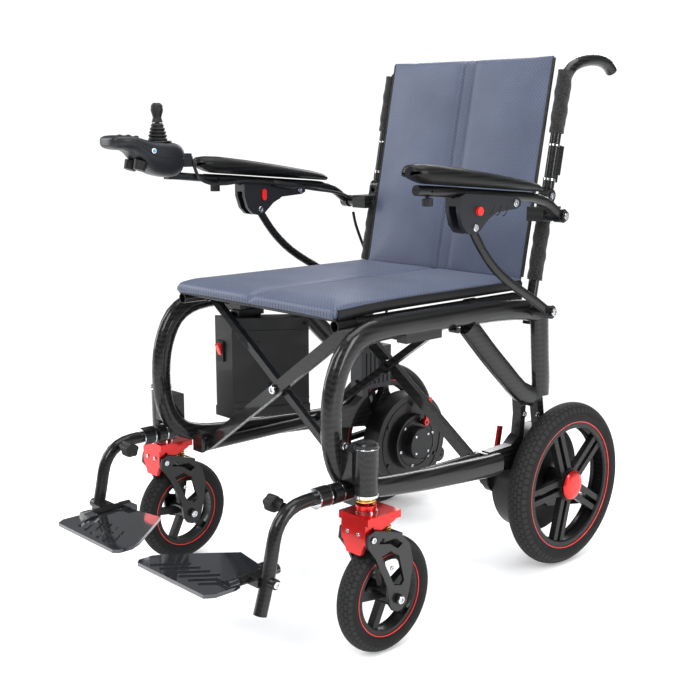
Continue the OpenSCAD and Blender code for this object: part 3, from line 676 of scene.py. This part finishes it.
# black edge bindings of the seat and back
for s, g in SIDES:
    bm = bmesh.new()
    add_tube(bm, catmull([(g * 0.2035, SY0 + 0.010, SEAT_Z + 0.006), (g * 0.2045, -0.10, SEAT_Z + 0.0105), (g * 0.2045, 0.1, SEAT_Z + 0.0105), (g * 0.2035, SY1 - 0.004, SEAT_Z + 0.0105)], 10), 0.0042, 0.0085, n=14)
    ride(bm_obj("seat_edge_" + s, bm, TRIM, 50), "seat_half_" + s)
    # front binding under the roll
    bm = bmesh.new()
    add_tube(bm, catmull([(g * 0.001, SY0 + 0.0045, SEAT_Z + 0.001), (g * 0.1, SY0 + 0.004, SEAT_Z + 0.001), (g * 0.203, SY0 + 0.006, SEAT_Z + 0.001)], 8), 0.0036, 0.0045, n=10, up=(0, 1, 0))
    ride(bm_obj("seat_front_binding_" + s, bm, TRIM, 50), "seat_half_" + s)
    for part, z0, z1, body in (("lower", -0.150, -0.001, "back_lower_panel_" + s), ("upper", 0.001, 0.243, "back_upper_panel_" + s)):
        bm = bmesh.new()
        n = 10
        add_tube(bm, [bf(g * 0.1962, -0.0128, z0 + (z1 - z0) * i / n) for i in range(n + 1)], 0.0030, 0.0038, n=12)
        ride(bm_obj("back_edge_%s_%s" % (part, s), bm, TRIM, 50), body)
    # sleeves of mesh cloth round the canes
    for part, z0, z1, body in (("upper", 0.112, 0.222, "back_frame_" + s), ("lower", -0.152, -0.042, s + "_frame")):
        bm = bmesh.new()
        n = 26
        ph = 1.3 if part == "upper" else 0.2

        def wob(u, th, ph=ph):
            return 1 + 0.045 * math.sin(17 * u + ph + 2 * th) + 0.03 * math.sin(31 * u + 3 * th + ph) - 0.05 * (abs(2 * u - 1) ** 8)
        add_tube(bm, [bf(g * 0.2152, 0.0005, z0 + (z1 - z0) * i / n) for i in range(n + 1)], 0.0134, 0.0138, n=28, wob=wob)
        o = bm_obj("cane_sleeve_%s_%s" % (part, s), bm, SLEEVE, 60)
        ride(o, body)


# ------------------------------------------------------------------ arm pads
def arm_pad(s, g):
    """A moulded pad: rounded section, tapered ends."""
    bm = bmesh.new()
    prof = [(-0.1362, 0.006, 0.022), (-0.1345, 0.014, 0.025), (-0.129, 0.020, 0.0275), (-0.114, 0.0245, 0.030), (-0.085, 0.0268, 0.031), (-0.03, 0.0276, 0.029), (0.04, 0.0272, 0.025),
            (0.10, 0.0250, 0.0205), (0.145, 0.0215, 0.0170), (0.170, 0.0180, 0.0135), (0.182, 0.0120, 0.0105), (0.1848, 0.006, 0.007)]
    n = 36
    rings = []
    dense = []
    for a, b in zip(prof, prof[1:]):
        for k in range(4):
            t = k / 4
            dense.append(tuple(x + (y - x) * t for x, y in zip(a, b)))
    dense.append(prof[-1])
    for y, w, h in dense:
        base = 0.7325 - (y + 0.118) * 0.0805
        ring = []
        lift = 0.010 * max(0.0, min(1.0, (-0.098 - y) / 0.036)) ** 1.5
        for j in range(n):
            th = 2 * math.pi * j / n
            cx, sz = math.cos(th), math.sin(th)
            x = w * (abs(cx) ** 0.62) * (1 if cx >= 0 else -1)
            z = h / 2 * (abs(sz) ** 0.78) * (1 if sz >= 0 else -1) + h / 2
            if sz > 0:
                z -= 0.0026 * (x / w) ** 2
            else:
                z += lift * (1 - z / h)
                x *= 1 - 0.16 * (1 - 2 * z / h) ** 2
            ring.append(bm.verts.new((g * 0.27 + x, y, base + z)))
        rings.append(ring)
    for a, b in zip(rings, rings[1:]):
        for j in range(n):
            bm.faces.new((a[j], a[(j + 1) % n], b[(j + 1) % n], b[j]))
    bm.faces.new(list(reversed(rings[0])))
    bm.faces.new(rings[-1])
    bmesh.ops.recalc_face_normals(bm, faces=bm.faces[:])
    o = bm_obj("arm_pad_top_" + s, bm, M["arm_foam"], 60)
    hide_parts("arm_pad_" + s)
    ride(o, "armrest_" + s)


for s, g in SIDES:
    arm_pad(s, g)

# ------------------------------------------------------------------ fittings
for s, g in SIDES:
    X = Vector((g, 0, 0))
    # chrome on the frame
    bm = bmesh.new()
    for y, z, r in ((0.235, 0.300, 0.0065), (0.275, 0.292, 0.0055)):
        add_bolt(bm, (g * 0.2152, y, z), X, 0.0055, 0.0025)
    add_bolt(bm, (g * 0.246, -0.244, 0.341), X, 0.0062, 0.0035)
    add_bolt(bm, (g * 0.283, 0.222, 0.498), X, 0.0068, 0.003)
    add_bolt(bm, (g * 0.283, 0.247, 0.664), X, 0.0058, 0.002)
    add_cyl(bm, (g * 0.273, -0.224, 0.2635), (0, 0, 1), 0.0192, 0.0042, n=48)
    add_torus(bm, (g * 0.273, -0.224, 0.3405), (0, 0, 1), 0.0186, 0.0012, n=48, k=8)
    for z0, z1 in ((-0.034, -0.028), (-0.006, -0.002)):
        pass
    ride(bm_obj("frame_bolts_" + s, bm, CHROME, 35), s + "_frame")
    bm = bmesh.new()
    add_cyl(bm, bf(g * 0.215, 0, 0.0262), bf(0, 0, 1) - bf(0, 0, 0), 0.0112, 0.004, n=32)
    add_cyl(bm, bf(g * 0.215, 0, 0.088), bf(0, 0, 1) - bf(0, 0, 0), 0.0103, 0.003, n=32)
    ride(bm_obj("cane_collars_" + s, bm, CHROME, 35), "back_frame_" + s)
    bm = bmesh.new()
    add_bolt(bm, (g * 0.2258, HINGE.y, HINGE.z), X, 0.006, 0.0025)
    add_cyl(bm, bf(g * 0.215, 0, -0.0402), bf(0, 0, 1) - bf(0, 0, 0), 0.0110, 0.005, n=32)
    ride(bm_obj("cane_hinge_fittings_" + s, bm, CHROME, 35), s + "_frame")
    # caster: red ring, bolts
    bm = bmesh.new()
    for q in (-1, 1):
        add_bolt(bm, (g * 0.273 + q * 0.0378, -0.185, 0.095), (q, 0, 0), 0.0066, 0.003)
        add_bolt(bm, (g * 0.273 + q * 0.0327, -0.240, 0.205), (q, 0, 0), 0.0050, 0.0025)
        add_bolt(bm, (g * 0.273 + q * 0.0325, -0.200, 0.150), (q, 0, 0), 0.0036, 0.002)
    ride(bm_obj("caster_bolts_" + s, bm, CHROME, 35), "caster_arm_" + s)
    bm = bmesh.new()
    for q in (-1, 1):
        add_torus(bm, (g * 0.273 + q * 0.0128, -0.185, 0.095), (1, 0, 0), 0.0668, 0.0011, n=96, k=6)
    ride(bm_obj("caster_pinstripe_" + s, bm, M["red_plastic"], 60), "caster_wheel_" + s)
    bm = bmesh.new()
    for q in (-1, 1):
        add_torus(bm, (g * 0.2425 + q * 0.0178, 0.326, 0.155), (1, 0, 0), 0.1208, 0.0012, n=128, k=6)
    ride(bm_obj("drive_pinstripe_" + s, bm, M["red_plastic"], 60), "drive_wheel_" + s)
    # steering bracket details
    bm = bmesh.new()
    add_cyl(bm, (g * 0.273, -0.224, 0.2398), (0, 0, 1), 0.0175, 0.003, n=40)
    add_bolt(bm, (g * 0.273 + 0.012, -0.2512, 0.212), (0, -1, 0), 0.0034, 0.002)
    add_bolt(bm, (g * 0.273 - 0.012, -0.2512, 0.212), (0, -1, 0), 0.0034, 0.002)
    ride(bm_obj("caster_head_collar_" + s, bm, CHROME, 35), "caster_head_" + s)
    # arm bracket bolts
    bm = bmesh.new()
    for q in (-1, 1):
        add_bolt(bm, (g * 0.27 + q * 0.0150, 0.104, 0.6935), (q, 0, 0), 0.0062, 0.003)
        add_bolt(bm, (g * 0.27 + q * 0.0150, 0.004, 0.6590), (q, 0, 0), 0.0060, 0.003)
    ride(bm_obj("arm_bracket_bolts_" + s, bm, CHROME, 35), "armrest_" + s)
    # a knurled screw under the pad
    bm = bmesh.new()
    add_cyl(bm, (g * 0.27, -0.092, 0.7135), (0, 0, -1), 0.0035, 0.006, n=16)
    add_tube(bm, [(g * 0.27, -0.092, 0.7090 - 0.012 * i / 6) for i in range(7)], 0.0085, n=36, wob=lambda u, th: 1 + 0.05 * math.cos(12 * th))
    ride(bm_obj("arm_thumb_screw_" + s, bm, M["boot_rubber"], 35), "armrest_" + s)
    # footrest knob, its screw and the clamp rings
    bm = bmesh.new()
    add_tube(bm, [(g * (0.222 - 0.024 * i / 6), -0.345, 0.262) for i in range(7)], 0.0065, n=20, up=(0, 0, 1))
    add_tube(bm, [(g * (0.207 - 0.020 * i / 8), -0.345, 0.262) for i in range(9)], 0.0125, n=40, up=(0, 0, 1), wob=lambda u, th: 1 + 0.09 * math.cos(5 * th) - 0.05 * (2 * u - 1) ** 4)
    ride(bm_obj("footrest_knob_" + s, bm, M["boot_rubber"], 35), s + "_frame")
    bm = bmesh.new()
    for y in (-0.2965, -0.2735, -0.2475):
        add_cyl(bm, (g * 0.236, y, 0.2665), (0, 1, 0), 0.0163, 0.0022, n=40)
    add_bolt(bm, (g * 0.254, -0.388, 0.161), X, 0.0058, 0.003)
    ride(bm_obj("footrest_rings_" + s, bm, CHROME, 35), s + "_frame")
    # hub cap ring
    bm = bmesh.new()
    add_torus(bm, (g * 0.2664, 0.326, 0.155), (1, 0, 0), 0.0205, 0.0008, n=64, k=6)
    ride(bm_obj("hub_cap_line_" + s, bm, M["red_metal"], 60), "drive_wheel_" + s)
    # motor face: rings and screws
    bm = bmesh.new()
    for i in range(6):
        a = math.radians(15 + 60 * i)
        add_bolt(bm, (g * 0.1391, 0.326 + 0.050 * math.cos(a), 0.155 + 0.050 * math.sin(a)), -X, 0.0034, 0.0018)
    for i in range(4):
        a = math.radians(45 + 90 * i)
        add_bolt(bm, (g * 0.1221, 0.326 + 0.026 * math.cos(a), 0.155 + 0.026 * math.sin(a)), -X, 0.0028, 0.0010)
    ride(bm_obj("motor_screws_" + s, bm, CHROME, 35), s + "_frame")
    bm = bmesh.new()
    for r, x in ((0.088, 0.1529), (0.052, 0.1389), (0.0335, 0.1221)):
        add_torus(bm, (g * x, 0.326, 0.155), (1, 0, 0), r, 0.0014, n=72, k=8)
    ride(bm_obj("motor_ribs_" + s, bm, M["motor_metal"], 60), s + "_frame")

# scissor pivot bolts
bm = bmesh.new()
add_bolt(bm, (0, -0.1810, (0.236 + RAIL_Z) / 2), (0, -1, 0), 0.0075, 0.0035)
ride(bm_obj("scissor_bolt_front", bm, CHROME, 35), "brace_a")
bm = bmesh.new()
add_bolt(bm, (0, 0.1170, (0.236 + RAIL_Z) / 2), (0, 1, 0), 0.0075, 0.0035)
ride(bm_obj("scissor_bolt_rear", bm, CHROME, 35), "brace_b")

# battery: side grooves, screws and a switch bezel
bm = bmesh.new()
for y, z in ((-0.138, 0.300), (-0.138, 0.462), (0.028, 0.285), (0.028, 0.446)):
    add_bolt(bm, (-0.1560, y, z), (1, 0, 0), 0.0035, 0.0016)
ride(bm_obj("battery_screws", bm, BLACK_BOLT, 35), "right_frame")
bm = bmesh.new()
for a, b in (((-0.147, 0.318), (0.0385, 0.300)), ((-0.147, 0.452), (0.0385, 0.433))):
    add_tube(bm, [(-0.1562, a[0] + (b[0] - a[0]) * i / 6, a[1] + (b[1] - a[1]) * i / 6) for i in range(7)], 0.0010, n=8)
ride(bm_obj("battery_grooves", bm, M["battery_case"], 60), "right_frame")
bm = bmesh.new()
add_box(bm, (-0.1990, -0.1505, 0.3930), (-0.1790, -0.1472, 0.4310))
ride(bm_obj("battery_switch_bezel", bm, M["boot_rubber"]), "right_frame")

# controller body: a rounded shell over the CAD housing
bm = bmesh.new()
PROF = [(-0.3235, 0.012, 0.7845, 0.7935), (-0.3215, 0.021, 0.7810, 0.7975), (-0.3150, 0.028, 0.7780, 0.8005), (-0.3020, 0.0325, 0.7760, 0.8015), (-0.2860, 0.0345, 0.7745, 0.8010), (-0.2740, 0.0350, 0.7680, 0.7990),
        (-0.2640, 0.0350, 0.7560, 0.7965), (-0.2520, 0.0352, 0.7430, 0.7935), (-0.2360, 0.0355, 0.7330, 0.7910), (-0.2140, 0.0350, 0.7275, 0.7895), (-0.1960, 0.0330, 0.7265, 0.7880), (-0.1840, 0.0295, 0.7300, 0.7850), (-0.1765, 0.0240, 0.7360, 0.7800), (-0.1730, 0.0170, 0.7440, 0.7730)]
rings = []
DENSE = []
for i in range(len(PROF) - 1):
    a, b, c, d = PROF[max(i - 1, 0)], PROF[i], PROF[i + 1], PROF[min(i + 2, len(PROF) - 1)]
    for k in range(4):
        t = k / 4
        DENSE.append(tuple(0.5 * (2 * q + (r - p) * t + (2 * p - 5 * q + 4 * r - w_) * t * t + (3 * q - p - 3 * r + w_) * t ** 3) for p, q, r, w_ in zip(a, b, c, d)))
DENSE.append(PROF[-1])
for y, wd, z0, z1 in DENSE:
    ring = []
    for j in range(44):
        th = 2 * math.pi * (j + 0.5) / 44
        cx, sz = math.cos(th), math.sin(th)
        x = wd * abs(cx) ** 0.5 * (1 if cx >= 0 else -1)
        z = (z0 + z1) / 2 + (z1 - z0) / 2 * abs(sz) ** 0.55 * (1 if sz >= 0 else -1)
        if sz < 0:
            x *= 1 - 0.30 * ((z0 + z1) / 2 - z) / ((z1 - z0) / 2) * min(1.0, (z1 - z0) / 0.06)
        ring.append(bm.verts.new((-0.27 + x, y, z)))
    rings.append(ring)
for a, b in zip(rings, rings[1:]):
    for j in range(44):
        bm.faces.new((a[j], a[(j + 1) % 44], b[(j + 1) % 44], b[j]))
bm.faces.new(list(reversed(rings[0])))
bm.faces.new(rings[-1])
add_tube(bm, [(-0.27, -0.1186 - 0.0062 * i, 0.7223 + 0.0006 * i) for i in range(13)], 0.0070, n=20)
add_box(bm, (-0.282, -0.184, 0.7440), (-0.258, -0.152, 0.7680))
add_box(bm, (-0.279, -0.2000, 0.7225), (-0.261, -0.1800, 0.7300))
bmesh.ops.recalc_face_normals(bm, faces=bm.faces[:])
o = bm_obj("controller_body", bm, M["dark_plastic"], 45)
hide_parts("controller_housing")
ride(o, "armrest_right")
# a seam line, a lower plug and the generic round badge on its side
bm = bmesh.new()
for q in (-1, 1):
    add_tube(bm, [(-0.27 + q * (w_ + 0.0002) * (1 if -0.318 < y < -0.18 else 0.97), y, (z0 + z1) / 2 + 0.002) for y, w_, z0, z1 in DENSE[6:-4]], 0.0007, n=6)
ride(bm_obj("controller_seam", bm, M["boot_rubber"], 60), "armrest_right")
bm = bmesh.new()
add_cyl(bm, (-0.2352, -0.2480, 0.7745), (1, 0, 0), 0.0046, 0.0012, n=28)
ride(bm_obj("controller_badge", bm, WHITE, 35), "armrest_right")
bm = bmesh.new()
add_cyl(bm, (-0.2342, -0.2480, 0.7745), (1, 0, 0), 0.0031, 0.0008, n=24)
ride(bm_obj("controller_badge_dot", bm, M["button_face"], 35), "armrest_right")
bm = bmesh.new()
add_cyl(bm, (-0.285, -0.262, 0.7560), (0, -0.35, -1), 0.0125, 0.016, n=28, r2=0.0105)
add_cyl(bm, (-0.255, -0.262, 0.7560), (0, -0.35, -1), 0.0125, 0.016, n=28, r2=0.0105)
ride(bm_obj("controller_underside_sockets", bm, M["boot_rubber"], 45), "armrest_right")

# controller: keys, charge lights, a boot ring and the plug on its lead
bm = bmesh.new()
for i, (x, y) in enumerate(((-0.284, -0.270), (-0.256, -0.270), (-0.284, -0.286), (-0.256, -0.286))):
    add_sphere(bm, (x, y, 0.7985 if y > -0.28 else 0.8005), 0.0048, 0.45, 16)
ride(bm_obj("controller_keys", bm, M["boot_rubber"], 60), "armrest_right")
bm = bmesh.new()
for i in range(5):
    add_cyl(bm, (-0.282 + 0.006 * i, -0.2585, 0.7942), (0, 0, 1), 0.0013, 0.0016, n=12)
ride(bm_obj("controller_lights", bm, WHITE, 35), "armrest_right")
bm = bmesh.new()
add_torus(bm, (-0.27, -0.216, 0.7895), (0, 0, 1), 0.0228, 0.0022, n=64, k=10, flat=0.8)
ride(bm_obj("controller_boot_ring", bm, M["dark_plastic"], 60), "armrest_right")
bm = bmesh.new()
add_cyl(bm, (-0.27, -0.1540, 0.763), (0, 1, -0.4), 0.0058, 0.010, n=24, r2=0.0042)
add_tube(bm, catmull([(-0.2495, 0.030, 0.7095), (-0.2490, 0.060, 0.7045), (-0.2490, 0.090, 0.7005)], 4), 0.0062, n=20, flare=lambda u: 1 - 0.35 * abs(2 * u - 1) ** 6)
ride(bm_obj("controller_lead_fittings", bm, M["boot_rubber"], 35), "armrest_right")

# ribs of the arm brackets' outer faces
for s, g in SIDES:
    bm = bmesh.new()
    for k in range(3):
        pts = [(g * 0.27 + g * 0.0153, 0.040 + 0.016 * k + 0.014 * math.cos(a), 0.700 - 0.022 * math.sin(a) - 0.002 * k) for a in [math.radians(20 + 14 * i) for i in range(6)]]
        add_tube(bm, pts, 0.0008, 0.0011, n=8)
    ride(bm_obj("arm_bracket_ribs_" + s, bm, M["dark_plastic"], 60), "armrest_" + s)

# ------------------------------------------------------------------ stage, light and camera
fl = obj("floor", [(-9, -9, 0), (9, -9, 0), (9, 9, 0), (-9, 9, 0)], [(0, 1, 2, 3)], None, smooth=False)
fm = Mat("floor_paint").set(Roughness=0.75, Specular_IOR_Level=0.25)
fm.b.inputs["Base Color"].default_value = (0.88, 0.88, 0.88, 1)
fm.b.inputs["Emission Color"].default_value = (1, 1, 1, 1)
# far from the chair the floor fades into the white backdrop, as the camera sees it
dist = fm.node("ShaderNodeVectorMath", operation="LENGTH")
fm.link(fm.coords(), dist.inputs[0])
rise = fm.node("ShaderNodeMapRange", interpolation_type="SMOOTHSTEP")
fm.link(dist.outputs["Value"], rise.inputs["Value"])
rise.inputs["From Min"].default_value = 0.55
rise.inputs["From Max"].default_value = 1.5
fade = fm.math("MULTIPLY", rise.outputs["Result"], fm.node("ShaderNodeLightPath").outputs["Is Camera Ray"])
fm.link(fm.math("MULTIPLY_ADD", fade, 0.79, 0.20), fm.b.inputs["Emission Strength"])
fm.link(fm.math("MULTIPLY_ADD", fade, -0.25, 0.25), fm.b.inputs["Specular IOR Level"])
keep = fm.math("MULTIPLY_ADD", fade, -0.88, 0.88)
grey = fm.node("ShaderNodeCombineColor")
for k in ("Red", "Green", "Blue"):
    fm.link(keep, grey.inputs[k])
fm.link(grey.outputs["Color"], fm.b.inputs["Base Color"])
set_mat(fl, fm.done())


def area(name, loc, target, size, power, size_y=None, color=(1, 1, 1)):
    d = bpy.data.lights.new(name, "AREA")
    d.energy = power
    d.color = color
    d.shape = "RECTANGLE"
    d.size = size
    d.size_y = size_y or size
    o = bpy.data.objects.new(name, d)
    scene.collection.objects.link(o)
    o.location = loc
    o.rotation_euler = (Vector(target) - Vector(loc)).to_track_quat("-Z", "Y").to_euler()
    return o


T = (0, 0, 0.45)
area("key", (0.9, -2.6, 2.6), T, 1.6, 62, 1.6)
area("left_strip", (-2.6, -1.4, 1.6), T, 0.7, 42, 2.4)
area("right_strip", (2.9, 0.5, 1.5), T, 0.7, 46, 2.4)
area("top", (0, 0.3, 3.0), T, 2.4, 55, 2.4)
area("rear", (-1.4, 2.6, 1.8), T, 1.6, 36, 1.6)
w = bpy.data.worlds.new("studio")
scene.world = w
w.use_nodes = True
wn = w.node_tree
bg = wn.nodes["Background"]
bg.inputs["Color"].default_value = (0.95, 0.97, 1.0, 1)
bg2 = wn.nodes.new("ShaderNodeBackground")
bg2.inputs["Color"].default_value = (0.97, 0.97, 0.975, 1)
lp = wn.nodes.new("ShaderNodeLightPath")
# dimmer in reflections, so that the lacquered tubes stay black
dim = wn.nodes.new("ShaderNodeMath")
dim.operation = "MULTIPLY_ADD"
wn.links.new(lp.outputs["Is Glossy Ray"], dim.inputs[0])
dim.inputs[1].default_value = -0.40
dim.inputs[2].default_value = 0.64
wn.links.new(dim.outputs[0], bg.inputs["Strength"])
mixw = wn.nodes.new("ShaderNodeMixShader")
wn.links.new(lp.outputs["Is Camera Ray"], mixw.inputs[0])
wn.links.new(bg.outputs[0], mixw.inputs[1])
wn.links.new(bg2.outputs[0], mixw.inputs[2])
wn.links.new(mixw.outputs[0], wn.nodes["World Output"].inputs["Surface"])

cam = bpy.data.cameras.new("camera")
co = bpy.data.objects.new("camera", cam)
scene.collection.objects.link(co)
co.location = (1.46032, -1.37856, 0.82245)
co.rotation_euler = (Vector((0, 0, 0.4205)) - co.location).to_track_quat("-Z", "Y").to_euler()
cam.sensor_width = 36
cam.lens = 36 * 1135.1 / 700
scene.camera = co
scene.view_settings.view_transform = "Standard"
scene.view_settings.exposure = 0.12
scene.view_settings.gamma = 0.9

bounds_file()
